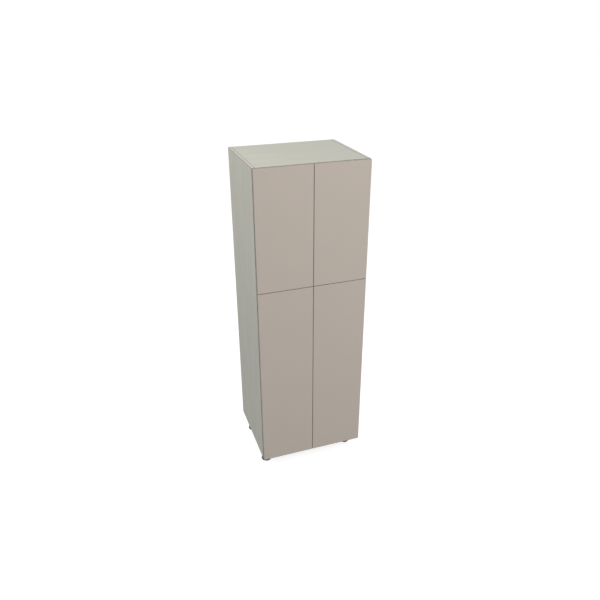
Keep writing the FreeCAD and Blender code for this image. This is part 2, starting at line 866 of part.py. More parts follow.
def mounting_plate():
    """A cross-shaped plate screwed to the side panel, with a ridge that fits inside the arm."""
    half, thick = number("plate_half_width"), number("plate_thickness")
    start, end = number("plate_start"), number("plate_end")
    row = number("plate_screw_row")
    wing, reach = number("plate_wing_half_length"), number("plate_wing_reach")
    made = block(Vector(0, start, -half), Vector(thick, end, half))
    made = made.fuse(block(Vector(0, row - wing, -reach), Vector(thick, row + wing, reach)))
    ridge_half = arm_low - layer_gap
    ridge_top = number("plate_ridge_top")
    ridge_low = Vector(0, number("plate_ridge_start"), -ridge_half)
    made = made.fuse(block(ridge_low, Vector(ridge_top, number("plate_ridge_end"), ridge_half)))
    spread = number("plate_screw_spread") / 2
    pass_radius = number("euro_screw_radius") + number("screw_hole_play")
    for height in (-spread, spread):
        hole_start = Vector(-OVERSHOOT, row, height)
        made = made.cut(rod(pass_radius, thick + OVERSHOOT * 2, hole_start, RIGHT))
    made = made.cut(rod(wood_screw + float(drill), ridge_top, Vector(thick, arm_screw_place, 0), RIGHT))
    return [made.removeSplitter()]


def plate_screws():
    """Two coarse screws through the plate into the side panel."""
    spread = number("plate_screw_spread") / 2
    thick = number("plate_thickness")
    place_y = number("plate_screw_row")
    radius = number("euro_screw_radius")
    depth = number("euro_screw_depth") + thick
    return [screw(radius, depth, Vector(thick, place_y, z), -RIGHT) for z in (-spread, spread)]


def hinge_cup():
    """The cup in the door's bore, with its rim, the two screw ears and the bearings for both pivots."""
    centre = Vector(cup_x, 0, 0)
    radius, wall = number("cup_radius"), number("cup_wall")
    rim = number("cup_rim")
    shell = rod(radius, door_face - cup_bottom, centre + BACK * cup_bottom, BACK)
    ear_x = cup_x + number("cup_screw_offset")
    half = number("cup_screw_spread") / 2
    ear = number("cup_ear_radius")
    flange = rod(radius + number("cup_rim_lip"), rim, centre + BACK * door_face, BACK)
    for height in (-half, half):
        flange = flange.fuse(rod(ear, rim, Vector(ear_x, door_face, height), BACK))
    flange = flange.fuse(
        block(Vector(ear_x - ear, door_face, -half), Vector(ear_x + ear, door_face + rim, half))
    )
    hollow = rod(radius - wall, number("cup_depth") - wall + rim, centre + BACK * (cup_bottom + wall), BACK)
    gap = number("cup_block_gap")
    bearing_end = outer_cup_pivot.x + number("cup_bearing_reach")
    keep_top = door_face - number("cup_bearing_drop")
    for low, high in ((gap, radius), (-radius, -gap)):
        bearing = block(Vector(cup_x - radius, cup_bottom, low), Vector(bearing_end, keep_top, high))
        hollow = hollow.cut(bearing)
    made = shell.fuse(flange).cut(hollow)
    for height in (-half, half):
        hole_start = Vector(ear_x, door_face - OVERSHOOT, height)
        made = made.cut(rod(screw_pass, rim + OVERSHOOT * 2, hole_start, BACK))
    notch_end = Vector(cup_x - radius / 2, door_face + rim + OVERSHOOT, gap)
    notch_reach = radius + number("cup_rim_lip") + OVERSHOOT
    notch_low = Vector(cup_x - notch_reach, door_face - number("cup_notch_depth"), -gap)
    made = made.cut(block(notch_low, notch_end))
    foot = Vector(inner_cup_pivot.x, cup_bottom + link_radius, 0)
    for low, high in ((arm_low, arm_high), (-arm_high, -arm_low)):
        made = made.fuse(bar([foot, inner_cup_pivot], link_radius, low, high))
    hole_length = (arm_high + OVERSHOOT) * 2
    hole_start = inner_cup_pivot - UP * (arm_high + OVERSHOOT)
    made = made.cut(rod(inner_pin + pivot_clearance, hole_length, hole_start, UP))
    seat_end = gap + number("cup_pin_reach") + number("cup_pin_end_gap")
    seat_start = outer_cup_pivot - UP * seat_end
    made = made.cut(rod(outer_pin + pivot_clearance, seat_end * 2, seat_start, UP))
    return [made.removeSplitter()]


def cup_pins():
    """Two stub pins for the outer links and one short pin for the inner link."""
    outer_end = number("cup_block_gap") + number("cup_pin_reach")
    inner_end = link_low - layer_gap / 2
    upper = rod(outer_pin, outer_end - inner_end, outer_cup_pivot + UP * inner_end, UP)
    lower = rod(outer_pin, outer_end - inner_end, outer_cup_pivot - UP * outer_end, UP)
    short_pin = rod(inner_pin, arm_high * 2, inner_cup_pivot - UP * arm_high, UP)
    return [upper, lower, short_pin]


def cup_screws():
    """Two screws through the cup's ears into the door."""
    seat = door_face + number("cup_rim")
    half = number("cup_screw_spread") / 2
    ear_x = cup_x + number("cup_screw_offset")
    depth = number("wood_screw_depth") + number("cup_rim")
    return [screw(wood_screw, depth, Vector(ear_x, seat, height), -BACK) for height in (-half, half)]


def at_hinges(shapes, hinges, left_side):
    """Copies of a left-hand hinge's pieces at every hinge height, mirrored for the right-hand side."""
    placed = []
    for hinge in hinges:
        height = float(floor_level + hinge)
        for shape in shapes:
            copy = shape.copy() if left_side else shape.mirror(Vector(0, 0, 0), RIGHT)
            x = float(inner_left) if left_side else float(inner_right)
            copy.translate(Vector(x, float(front_edge), height))
            placed.append(copy)
    return placed


def at_all_hinges(shapes):
    hinges = lower_hinges + upper_hinges
    return at_hinges(shapes, hinges, True) + at_hinges(shapes, hinges, False)


group("hinge_arms", at_all_hinges(hinge_arm()))
group("hinge_arm_pins", at_all_hinges(arm_pins()))
group("hinge_arm_screws", at_all_hinges(arm_screws()))
group("hinge_plates", at_all_hinges(mounting_plate()))
group("hinge_plate_screws", at_all_hinges(plate_screws()))
for corner, (left, start, height, hinges, left_side) in DOORS.items():
    group("outer_links_" + corner, at_hinges(outer_links(), hinges, left_side))
    group("inner_links_" + corner, at_hinges(inner_link(), hinges, left_side))
    group("hinge_cups_" + corner, at_hinges(hinge_cup() + cup_pins(), hinges, left_side))
    group("cup_screws_" + corner, at_hinges(cup_screws(), hinges, left_side))

# ------------------------------------------------------------------ dowels, cams and shelf pins


def mirrored_pair(shape):
    return [shape, shape.mirror(Vector(0, 0, 0), RIGHT)]


def fastener_row(draw, places):
    """A fastener at each place of every cross board, on both ends of the board."""
    made = []
    for name in board_levels:
        height = float(floor_level + level_of(name))
        for place in places:
            point = Vector(float(inner_left), float(front_edge + place), height)
            for shape in draw(point):
                made += mirrored_pair(shape)
    return made


def dowel(point):
    gap = number("dowel_end_gap")
    side_depth = number("dowel_side_depth")
    length = side_depth + number("dowel_board_depth") - gap * 2
    stick = rod(number("dowel_radius"), length, point - RIGHT * (side_depth - gap), RIGHT)
    ends = [edge for edge in stick.Edges if isinstance(edge.Curve, Part.Circle)]
    return [stick.makeChamfer(number("dowel_bevel"), ends)]


def cam_bolt(point):
    """The bolt that a cam pulls: thread in the side panel, shank, neck and a head inside the cam."""
    gap = number("dowel_end_gap")
    thread = rod(number("bolt_thread_radius"), number("dowel_side_depth") - gap, point, -RIGHT)
    to_cam = number("cam_end_distance")
    head_length, neck_length = number("bolt_head_length"), number("bolt_neck_length")
    shank_length = to_cam - head_length / 2 - neck_length
    shank = rod(number("bolt_shank_radius"), shank_length, point, RIGHT)
    neck = rod(number("bolt_neck_radius"), neck_length, point + RIGHT * shank_length, RIGHT)
    head_start = point + RIGHT * (shank_length + neck_length)
    head = rod(number("bolt_head_radius"), head_length, head_start, RIGHT)
    return [thread.fuse([shank, neck, head]).removeSplitter()]


def cam(point):
    """The round cam under the board: a throat for the bolt's head and a cross recess for the driver."""
    radius = number("cam_radius") - float(drill)
    recess = number("cam_recess")
    height = number("cam_depth") - recess - float(clearance)
    centre = point + RIGHT * number("cam_end_distance") - UP * (float(board) / 2 - recess)
    made = rod(radius, height, centre, UP)
    throat = number("bolt_head_radius") + number("cam_throat_clearance")
    throat_start = radius + OVERSHOOT
    axis = point + RIGHT * (number("cam_end_distance") - throat_start)
    made = made.cut(rod(throat, throat_start + number("bolt_head_length"), axis, RIGHT))
    long_half, thin_half = number("cam_cross_half_length"), number("cam_cross_half_width")
    for wide, deep in ((long_half, thin_half), (thin_half, long_half)):
        low = centre + Vector(-wide, -deep, -OVERSHOOT)
        made = made.cut(block(low, centre + Vector(wide, deep, number("cam_cross_depth"))))
    return [made]


def shelf_pin(point):
    """A steel pin with a collar: half in the side panel, half under the shelf."""
    in_panel = rod(number("pin_radius"), number("pin_depth"), point, -RIGHT)
    under_shelf = rod(number("pin_radius"), number("pin_reach"), point, RIGHT)
    collar = rod(number("pin_collar_radius"), number("pin_collar_thickness"), point, RIGHT)
    return in_panel.fuse([under_shelf, collar]).removeSplitter()


group("dowels", fastener_row(dowel, dowel_places))
group("cam_bolts", fastener_row(cam_bolt, cam_places))
group("cam_housings", fastener_row(cam, cam_places))
pins = []
for level in pin_levels:
    for place in (size("pin_row_front"), pin_back_place):
        point = Vector(float(inner_left), float(front_edge + place), float(floor_level + level))
        pins += mirrored_pair(shelf_pin(point))
group("shelf_pins", pins)

# ------------------------------------------------------------------ push latches

LATCH_UNDER = {"upper": float(floor_level + top_level), "lower": float(floor_level + middle_level)}
plunger_tip = float(door_back) + number("strike_thickness") + number("strike_gap")


def latch_housing(middle, ceiling):
    """A plastic body with two screw ears under a board, bored for its plunger."""
    front = float(front_edge) + number("latch_setback")
    half, low = number("latch_width") / 2, ceiling - number("latch_height")
    end = front + number("latch_length")
    made = block(Vector(middle - half, front, low), Vector(middle + half, end, ceiling))
    flange_half = number("latch_flange_width") / 2
    thick = number("latch_flange_thickness")
    screw_y = front + number("latch_screw_place")
    ear = number("latch_ear_half_length")
    ear_low = Vector(middle - flange_half, screw_y - ear, ceiling - thick)
    made = made.fuse(block(ear_low, Vector(middle + flange_half, screw_y + ear, ceiling)))
    axis = Vector(middle, front - OVERSHOOT, low + number("latch_height") / 2)
    made = made.cut(rod(number("latch_bore_radius"), number("latch_bore_depth") + OVERSHOOT, axis, BACK))
    spread = float(latch_half_flange)
    for side in (-spread, spread):
        hole_start = Vector(middle + side, screw_y, ceiling - thick - OVERSHOOT)
        made = made.cut(rod(screw_pass, thick + OVERSHOOT * 2, hole_start, UP))
    return made.removeSplitter()


def plunger(middle, ceiling):
    """The rod that the door is pushed against, with a blind bore for its spring."""
    height = ceiling - number("latch_height") / 2
    start = Vector(middle, plunger_tip, height)
    made = rod(number("plunger_radius"), number("plunger_length"), start, BACK)
    tips = [edge for edge in made.Edges if abs(edge.CenterOfMass.y - plunger_tip) < 1e-6]
    made = made.makeChamfer(number("plunger_bevel"), tips[:1])
    bore_start = start + BACK * number("plunger_bore_start")
    return made.cut(rod(number("plunger_bore_radius"), number("plunger_length"), bore_start, BACK))


def strike(middle, ceiling):
    """The steel disc on the door's back that the plunger's magnet holds."""
    height = ceiling - number("latch_height") / 2
    start = Vector(middle, float(door_back), height)
    return rod(number("strike_radius"), number("strike_thickness"), start, BACK)


housings = []
panel_screws = []
for row, ceiling in LATCH_UNDER.items():
    for side, place in zip(("left", "right"), latch_places):
        middle = float(place)
        housings.append(latch_housing(middle, ceiling))
        group("latch_plunger_" + row + "_" + side, [plunger(middle, ceiling)])
        group("strike_plate_" + row + "_" + side, [strike(middle, ceiling)])
    seat = ceiling - number("latch_flange_thickness")
    depth = number("wood_screw_depth") + number("latch_flange_thickness")
    for across, along in latch_screws:
        place = Vector(float(across), float(front_edge + along), seat)
        panel_screws.append(screw(wood_screw, depth, place, UP))
group("latch_housings", housings)

# ------------------------------------------------------------------ legs

underside = float(floor_level)


def leg_socket(x, y):
    """A flange under the bottom panel with a sleeve that takes the leg tube."""
    flange = number("socket_flange")
    made = rod(number("socket_radius"), flange, Vector(x, y, underside - flange), UP)
    sleeve_length = number("socket_sleeve_length")
    sleeve_low = underside - flange - sleeve_length
    made = made.fuse(rod(number("socket_sleeve_radius"), sleeve_length, Vector(x, y, sleeve_low), UP))
    bore = number("leg_tube_radius") + float(drill)
    made = made.cut(rod(bore, sleeve_length, Vector(x, y, sleeve_low), UP))
    reach = float(socket_reach)
    for right, back in ((-1, -1), (1, -1), (1, 1), (-1, 1)):
        hole_start = Vector(x + right * reach, y + back * reach, underside - flange - OVERSHOOT)
        made = made.cut(rod(screw_pass, flange + OVERSHOOT * 2, hole_start, UP))
    return made.removeSplitter()


def leg_tube(x, y):
    """The tube that is pressed into the socket and takes the foot's stem."""
    low = number("leg_tube_bottom")
    length = underside - number("socket_flange") - float(clearance) - low
    made = rod(number("leg_tube_radius"), length, Vector(x, y, low), UP)
    bore = number("leg_stem_radius") + number("thread_clearance")
    return made.cut(rod(bore, length, Vector(x, y, low), UP))


def foot(x, y):
    """A round foot on a stem that screws up and down inside the tube."""
    height, cone = number("foot_height"), number("foot_cone_height")
    radius, stem = number("foot_radius"), number("leg_stem_radius")
    made = rod(radius, height, Vector(x, y, 0), UP)
    cone_top = number("foot_cone_top_radius")
    made = made.fuse(Part.makeCone(radius, cone_top, cone, Vector(x, y, height), UP))
    top = height + cone
    made = made.fuse(rod(stem, number("leg_stem_top") - top, Vector(x, y, top), UP))
    return made.removeSplitter()


sockets = []
tubes = []
for corner, (across, along) in leg_places.items():
    x, y = float(across), float(front_edge + along)
    sockets.append(leg_socket(x, y))
    tubes.append(leg_tube(x, y))
    group("foot_" + corner, [foot(x, y)])
group("leg_sockets", sockets)
group("leg_tubes", tubes)
for across, along in leg_screws:
    place = Vector(float(across), float(front_edge + along), underside - number("socket_flange"))
    depth = number("wood_screw_depth") + number("socket_flange")
    panel_screws.append(screw(wood_screw, depth, place, UP))

# ------------------------------------------------------------------ wall brackets

ceiling_level = float(floor_level + top_level)
bracket_y = float(front_edge + bracket_back)


def wall_bracket(middle):
    """A steel angle under the top panel whose upright leg takes the screw into the wall."""
    half, leg, thick = number("bracket_width") / 2, number("bracket_leg"), number("bracket_thickness")
    top = Vector(middle + half, bracket_y, ceiling_level)
    made = block(Vector(middle - half, bracket_y - leg, ceiling_level - thick), top)
    made = made.fuse(block(Vector(middle - half, bracket_y - thick, ceiling_level - leg), top))
    hole = Vector(middle, bracket_y - thick - OVERSHOOT, ceiling_level - number("bracket_hole_drop"))
    made = made.cut(rod(number("bracket_hole_radius"), thick + OVERSHOOT * 2, hole, BACK))
    for side in (-1, 1):
        across = middle + side * number("bracket_screw_spread") / 2
        screw_y = bracket_y - number("bracket_screw_place")
        start = Vector(across, screw_y, ceiling_level - thick - OVERSHOOT)
        made = made.cut(rod(screw_pass, thick + OVERSHOOT * 2, start, UP))
    return made.removeSplitter()


group("wall_brackets", [wall_bracket(float(middle)) for middle in bracket_middles])
for across, along in bracket_screws:
    seat = ceiling_level - number("bracket_thickness")
    depth = number("wood_screw_depth") + number("bracket_thickness")
    place = Vector(float(across), float(front_edge + along), seat)
    panel_screws.append(screw(wood_screw, depth, place, UP))
group("panel_screws", panel_screws)

# ------------------------------------------------------------------ checks and files

document.recompute()
for thing in document.Objects:
    if "Invalid" in thing.State or "Error" in thing.State:
        raise RuntimeError(thing.Label + " did not build")
for label, thing in nodes.items():
    if thing.Shape.isNull() or not thing.Shape.isValid():
        raise RuntimeError(label + " has no valid shape")

os.makedirs("parts", exist_ok=True)
for label, thing in nodes.items():
    thing.Shape.exportStep("parts/" + label + ".step")
    print(label, len(thing.Shape.Solids), round(thing.Shape.Volume / 1000, 2), "cm3")
print(len(nodes), "nodes")
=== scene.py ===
import json
import math

import bmesh
import bpy
from mathutils import Matrix, Vector


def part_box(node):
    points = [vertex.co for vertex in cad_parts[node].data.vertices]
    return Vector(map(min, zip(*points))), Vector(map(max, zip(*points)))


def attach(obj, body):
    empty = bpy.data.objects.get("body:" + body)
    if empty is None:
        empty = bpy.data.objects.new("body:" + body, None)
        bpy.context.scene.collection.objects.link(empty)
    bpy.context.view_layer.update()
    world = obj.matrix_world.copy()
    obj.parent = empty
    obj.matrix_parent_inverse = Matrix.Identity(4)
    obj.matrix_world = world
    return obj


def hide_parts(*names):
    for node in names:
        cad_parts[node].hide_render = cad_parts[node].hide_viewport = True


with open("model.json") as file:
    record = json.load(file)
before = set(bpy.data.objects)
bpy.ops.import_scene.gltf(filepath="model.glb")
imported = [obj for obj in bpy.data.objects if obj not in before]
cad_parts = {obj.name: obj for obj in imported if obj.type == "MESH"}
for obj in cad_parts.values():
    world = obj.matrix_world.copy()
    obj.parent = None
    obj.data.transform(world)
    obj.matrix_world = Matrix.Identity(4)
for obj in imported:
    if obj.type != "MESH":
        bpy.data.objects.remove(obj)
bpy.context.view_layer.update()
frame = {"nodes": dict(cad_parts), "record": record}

# Lengths are metres. The frame's origin is on the floor under the middle of the unit, with the doors at -Y.

# ------------------------------------------------------------------ camera

CAMERA_PLACE = (-1.1279, -3.3294, 2.8828)
CAMERA_AZIMUTH = -19.501
CAMERA_ELEVATION = 26.791
CAMERA_SENSOR = 36
CAMERA_LENS = 35.554
CAMERA_SHIFT = (-0.0091, 0.0051)


def new_object(name, data):
    """Makes an object of a mesh, camera or lamp and puts it into the scene."""
    thing = bpy.data.objects.new(name, data)
    bpy.context.scene.collection.objects.link(thing)
    return thing


def make_camera():
    data = bpy.data.cameras.new("camera")
    data.sensor_width = CAMERA_SENSOR
    data.lens = CAMERA_LENS
    data.shift_x, data.shift_y = CAMERA_SHIFT
    camera = new_object("camera", data)
    camera.location = CAMERA_PLACE
    camera.rotation_euler = (math.radians(90 - CAMERA_ELEVATION), 0, math.radians(CAMERA_AZIMUTH))
    bpy.context.scene.camera = camera


make_camera()
bpy.context.scene.view_settings.view_transform = "Standard"

# ------------------------------------------------------------------ node helpers

# Sockets of a Mix node that mixes colours.
MIX_SHARE, MIX_FIRST, MIX_SECOND, MIX_RESULT = 0, 6, 7, 2

# The part of a noise's range that a pattern is spread over.
NOISE_RANGE = (0.3, 0.7)


class Shader:
    """Builds one material's nodes: a Principled shader, its texture coordinates, and small sums on them."""

    def __init__(self, name, roughness, metallic=0.0, specular=0.5):
        self.material = bpy.data.materials.new(name)
        self.material.use_nodes = True
        self.tree = self.material.node_tree
        self.tree.nodes.clear()
        output = self.tree.nodes.new("ShaderNodeOutputMaterial")
        self.surface = self.tree.nodes.new("ShaderNodeBsdfPrincipled")
        self.surface.inputs["Roughness"].default_value = roughness
        self.surface.inputs["Metallic"].default_value = metallic
        self.surface.inputs["Specular IOR Level"].default_value = specular
        self.link(self.surface.outputs["BSDF"], output.inputs["Surface"])
        places = self.tree.nodes.new("ShaderNodeTexCoord")
        self.place = places.outputs["Object"]
        self.share_of_box = places.outputs["Generated"]
        self.direction = places.outputs["Normal"]

    def link(self, source, target):
        self.tree.links.new(source, target)

    def put(self, socket, value):
        """Links a socket to a node's result, or sets it to a number or colour."""
        if isinstance(value, bpy.types.NodeSocket):
            self.link(value, socket)
        else:
            socket.default_value = value

    def math(self, operation, first, second=0.0):
        node = self.tree.nodes.new("ShaderNodeMath")
        node.operation = operation
        for socket, value in zip(node.inputs, (first, second)):
            self.put(socket, value)
        return node.outputs[0]

    def split(self, vector):
        node = self.tree.nodes.new("ShaderNodeSeparateXYZ")
        self.link(vector, node.inputs[0])
        return node.outputs

    def stretched(self, scale):
        node = self.tree.nodes.new("ShaderNodeMapping")
        self.link(self.place, node.inputs["Vector"])
        node.inputs["Scale"].default_value = scale
        return node.outputs[0]

    def noise(self, scale, detail=2.0, roughness=0.5, vector=None):
        node = self.tree.nodes.new("ShaderNodeTexNoise")
        self.link(self.place if vector is None else vector, node.inputs["Vector"])
        node.inputs["Scale"].default_value = scale
        node.inputs["Detail"].default_value = detail
        node.inputs["Roughness"].default_value = roughness
        return node.outputs["Fac"]

    def cells(self, scale):
        """The distance to the middle of the nearest of many random cells."""
        node = self.tree.nodes.new("ShaderNodeTexVoronoi")
        self.link(self.place, node.inputs["Vector"])
        node.inputs["Scale"].default_value = scale
        return node.outputs["Distance"]

    def span(self, value, low, high, start=0.0, end=1.0):
        """Maps a value's range low to high onto start to end, and holds it there."""
        node = self.tree.nodes.new("ShaderNodeMapRange")
        self.put(node.inputs["Value"], value)
        node.inputs["From Min"].default_value = low
        node.inputs["From Max"].default_value = high
        node.inputs["To Min"].default_value = start
        node.inputs["To Max"].default_value = end
        return node.outputs[0]

    def mix(self, share, first, second):
        node = self.tree.nodes.new("ShaderNodeMix")
        node.data_type = "RGBA"
        self.put(node.inputs[MIX_SHARE], share)
        self.put(node.inputs[MIX_FIRST], first)
        self.put(node.inputs[MIX_SECOND], second)
        return node.outputs[MIX_RESULT]

    def mottle(self, pattern, base, dark, pale, low=NOISE_RANGE[0], high=NOISE_RANGE[1]):
        """Runs from a darker to a paler shade of a colour as a pattern goes from low to high."""
        return self.mix(self.span(pattern, low, high), shade(base, dark), shade(base, pale))

    def bump(self, height, distance, strength):
        node = self.tree.nodes.new("ShaderNodeBump")
        self.link(height, node.inputs["Height"])
        node.inputs["Distance"].default_value = distance
        node.inputs["Strength"].default_value = strength
        self.link(node.outputs[0], self.surface.inputs["Normal"])

    def colour(self, value):
        self.link(value, self.surface.inputs["Base Color"])

    def rough(self, pattern, smoothest, roughest):
        self.link(self.span(pattern, *NOISE_RANGE, smoothest, roughest), self.surface.inputs["Roughness"])


def shade(colour, factor):
    """An opaque colour, lighter or darker by a factor."""
    return tuple(min(1.0, part * factor) for part in colour[:3]) + (1.0,)


# ------------------------------------------------------------------ distances on a board

BOX_MIDDLE = 0.5
SKIN_FADE = 0.0001
EDGE_LINE_CORE = 0.2


def node_size(node):
    low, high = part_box(node)
    return high - low


def edge_distances(shader, size):
    """How far a point lies from the nearer of a board's two outer faces, for each of the three directions."""
    found = []
    for along, length in zip(shader.split(shader.share_of_box), size):
        from_middle = shader.math("ABSOLUTE", shader.math("SUBTRACT", along, BOX_MIDDLE))
        found.append(shader.math("MULTIPLY", shader.math("SUBTRACT", BOX_MIDDLE, from_middle), length))
    return found


def inside_board(shader, distances, skin):
    """1 on the walls of bores and grooves, and 0 on the board's outer faces."""
    first, second, third = distances
    nearest = shader.math("MINIMUM", shader.math("MINIMUM", first, second), third)
    return shader.span(nearest, skin, skin + SKIN_FADE)


def edge_shade_mask(shader, distances, width):
    """1 at a board's edges, on every outer face, fading to 0 over a width: it places the painted shade along
    the edges.

    On an outer face one distance is 0, and the middle one of the three is that to the nearest edge."""
    first, second, third = distances
    lower = shader.math("MINIMUM", first, second)
    higher = shader.math("MAXIMUM", first, second)
    to_edge = shader.math("MAXIMUM", lower, shader.math("MINIMUM", higher, third))
    return shader.span(to_edge, width * EDGE_LINE_CORE, width, 1.0, 0.0)


# ------------------------------------------------------------------ materials

CARCASS = (0.455, 0.450, 0.392, 1)
TOP_CARCASS = (0.450, 0.441, 0.377, 1)
LACQUER = (0.544, 0.480, 0.421, 1)
CHIPBOARD = (0.50, 0.36, 0.21, 1)
FIBREBOARD = (0.42, 0.30, 0.19, 1)
STEEL = (0.66, 0.65, 0.63, 1)
DARK_PLASTIC = (0.085, 0.085, 0.088, 1)
PALE_PLASTIC = (0.60, 0.60, 0.58, 1)
BEECH = (0.55, 0.36, 0.20, 1)

# A noise has its scale, its detail and its roughness, and a bump its depth and its strength. Shades are
# factors on the base colour.

GRAIN_NOISE = (1.0, 4.0, 0.62)
GRAIN_SHADES = (0.97, 1.077)
STREAK_NOISE = (1.0, 2.0, 0.5)
STREAKS_PER_GRAIN = 0.17
FEWEST_STREAKS = 2.0
STREAK_RANGE = (0.4, 0.6)
STREAK_SHADE = 0.952
STREAK_SHARE = 0.75
BOARD_CLOUD_NOISE = (3.1, 2.0, 0.5)
BOARD_CLOUD_RANGE = (0.35, 0.65)
BOARD_CLOUD_SHADE = 0.985
BOARD_CLOUD_SHARE = 0.35
COOL_TINT = (0.96, 0.98, 1.0)
TINT_RANGE = (0.3, 0.9)
TINT_SHARE = 0.9
# Painted shade along every board edge, for seam shadows and rounded-edge shading: how far it fades out and
# how dark it is at the edge.
EDGE_SHADE_WIDTH = 0.0022
PAINTED_EDGE_SHADE = 0.25
CHIP_CELLS = 420
CHIP_RANGE = (0.0, 0.5)
CHIP_SHADES = (0.7, 1.15)
BOARD_SKIN = 0.0002
BOARD_GLOSS_NOISE = (60, 3.0)
BOARD_ROUGHNESS = (0.5, 0.62)
PEARL_NOISE = (1400, 2.0, 0.6)
PEARL_BUMP = (0.00006, 0.5)


def board_material(name, base, raw, grain, node, tint=None):
    """Melamine-faced board: a faint printed grain, a pearl surface, painted shade along every edge that
    stands in for seam shadows and rounded-edge shading, and a raw core in its bores.

    The tint is the tone that the print drifts to at the board's right-hand end."""
    shader = Shader(name, roughness=0.55, specular=0.25)
    distances = edge_distances(shader, node_size(node))
    streak_scale = tuple(max(part * STREAKS_PER_GRAIN, FEWEST_STREAKS) for part in grain)
    lines = shader.noise(*GRAIN_NOISE, shader.stretched(grain))
    streaks = shader.noise(*STREAK_NOISE, shader.stretched(streak_scale))
    cloud = shader.noise(*BOARD_CLOUD_NOISE)
    printed = shader.mottle(lines, base, *GRAIN_SHADES)
    for pattern, reach, share, factor in (
        (streaks, STREAK_RANGE, STREAK_SHARE, STREAK_SHADE),
        (cloud, BOARD_CLOUD_RANGE, BOARD_CLOUD_SHARE, BOARD_CLOUD_SHADE),
    ):
        printed = shader.mix(shader.span(pattern, *reach, 0.0, share), printed, shade(base, factor))
    if tint:
        across = shader.split(shader.share_of_box)[0]
        tinted = tuple(part * share for part, share in zip(base, tint)) + (1.0,)
        printed = shader.mix(shader.span(across, *TINT_RANGE, 0.0, TINT_SHARE), printed, tinted)
    # Painted shade darkens the print towards every edge of the board.
    edge_shaded = shader.mix(edge_shade_mask(shader, distances, EDGE_SHADE_WIDTH), printed, shade(base, PAINTED_EDGE_SHADE))
    core = shader.mottle(shader.cells(CHIP_CELLS), raw, *CHIP_SHADES, *CHIP_RANGE)
    shader.colour(shader.mix(inside_board(shader, distances, BOARD_SKIN), edge_shaded, core))
    shader.rough(shader.noise(*BOARD_GLOSS_NOISE), *BOARD_ROUGHNESS)
    shader.bump(shader.noise(*PEARL_NOISE), *PEARL_BUMP)
    return shader.material


LACQUER_CLOUD_NOISE = (2.3, 3.0, 0.5)
LACQUER_CLOUD_SHADES = (0.99, 1.01)
FLECK_NOISE = (900, 2.0, 0.5)
FLECK_RANGE = (0.35, 0.65)
FLECK_SHADE = 0.99
FLECK_SHARE = 0.3
# Painted shade on the door's edge faces, standing in for the shadow in the gap round the door.
DOOR_EDGE_PAINTED_SHADE = 0.55
# How far a face looks forwards or backwards: below the range it is an edge, above it a front or back.
FACING_RANGE = (0.8, 0.95)
FIBRE_NOISE = (700, 4.0, 0.7)
FIBRE_SHADES = (0.75, 1.15)
DOOR_SKIN = 0.0011
LACQUER_GLOSS_NOISE = (24, 3.0)
LACQUER_ROUGHNESS = (0.45, 0.55)
PEEL_NOISE = (330, 1.0, 0.4)
PEEL_BUMP = (0.00006, 0.3)


def lacquer_material(name, node):
    """Matt lacquer: a soft orange peel, faint clouds, painted shade on its edges for the shadow in the gap
    round the door, and bare fibreboard in the hinge bores.
    """
    shader = Shader(name, roughness=0.5, specular=0.3)
    distances = edge_distances(shader, node_size(node))
    clouded = shader.mottle(shader.noise(*LACQUER_CLOUD_NOISE), LACQUER, *LACQUER_CLOUD_SHADES)
    flecks = shader.span(shader.noise(*FLECK_NOISE), *FLECK_RANGE, 0.0, FLECK_SHARE)
    flecked = shader.mix(flecks, clouded, shade(LACQUER, FLECK_SHADE))
    facing = shader.math("ABSOLUTE", shader.split(shader.direction)[1])
    # The edge faces get the painted shade, and the front and back keep the lacquer.
    door_edge_shaded = shader.mix(shader.span(facing, *FACING_RANGE, 1.0, 0.0), flecked, shade(LACQUER, DOOR_EDGE_PAINTED_SHADE))
    fibres = shader.noise(*FIBRE_NOISE)
    core = shader.mix(fibres, *(shade(FIBREBOARD, factor) for factor in FIBRE_SHADES))
    shader.colour(shader.mix(inside_board(shader, distances, DOOR_SKIN), door_edge_shaded, core))
    shader.rough(shader.noise(*LACQUER_GLOSS_NOISE), *LACQUER_ROUGHNESS)
    shader.bump(shader.noise(*PEEL_NOISE), *PEEL_BUMP)
    return shader.material


ROLLING_NOISE = (1.0, 2.0, 0.6)
ROLLING_SCALE = (300, 40, 2600)
ROLLING_BUMP = (0.00003, 0.35)
HAZE_NOISE = (90, 3.0, 0.6)
HAZE_SHADES = (0.9, 1.06)
STEEL_ROUGHNESS = (0.24, 0.38)


def steel_material():
    """Nickel-plated pressed steel with fine rolling lines and a little haze."""
    shader = Shader("plated_steel", roughness=0.3, metallic=1.0)
    haze = shader.noise(*HAZE_NOISE)
    shader.colour(shader.mottle(haze, STEEL, *HAZE_SHADES))
    shader.rough(haze, *STEEL_ROUGHNESS)
    shader.bump(shader.noise(*ROLLING_NOISE, shader.stretched(ROLLING_SCALE)), *ROLLING_BUMP)
    return shader.material


MOULD_CLOUD_NOISE = (45, 2.0, 0.5)
MOULD_SHADES = (0.93, 1.07)
MOULD_NOISE = (2200, 2.0, 0.6)
MOULD_BUMP = (0.00008, 0.6)
DARK_PLASTIC_ROUGHNESS = (0.42, 0.56)
PALE_PLASTIC_ROUGHNESS = (0.4, 0.52)


def plastic_material(name, base, roughness):
    """Moulded plastic with the fine spark-eroded texture of its mould."""
    shader = Shader(name, roughness=0.5, specular=0.45)
    cloud = shader.noise(*MOULD_CLOUD_NOISE)
    shader.colour(shader.mottle(cloud, base, *MOULD_SHADES))
    shader.rough(cloud, *roughness)
    shader.bump(shader.noise(*MOULD_NOISE), *MOULD_BUMP)
    return shader.material


BEECH_NOISE = (1.0, 4.0, 0.65)
BEECH_GRAIN = (60, 900, 900)
BEECH_SHADES = (0.75, 1.1)
BEECH_BUMP = (0.0001, 0.5)


def beech_material():
    shader = Shader("beech", roughness=0.55, specular=0.3)
    grain = shader.noise(*BEECH_NOISE, shader.stretched(BEECH_GRAIN))
    shader.colour(shader.mottle(grain, BEECH, *BEECH_SHADES))
    shader.bump(grain, *BEECH_BUMP)
    return shader.material


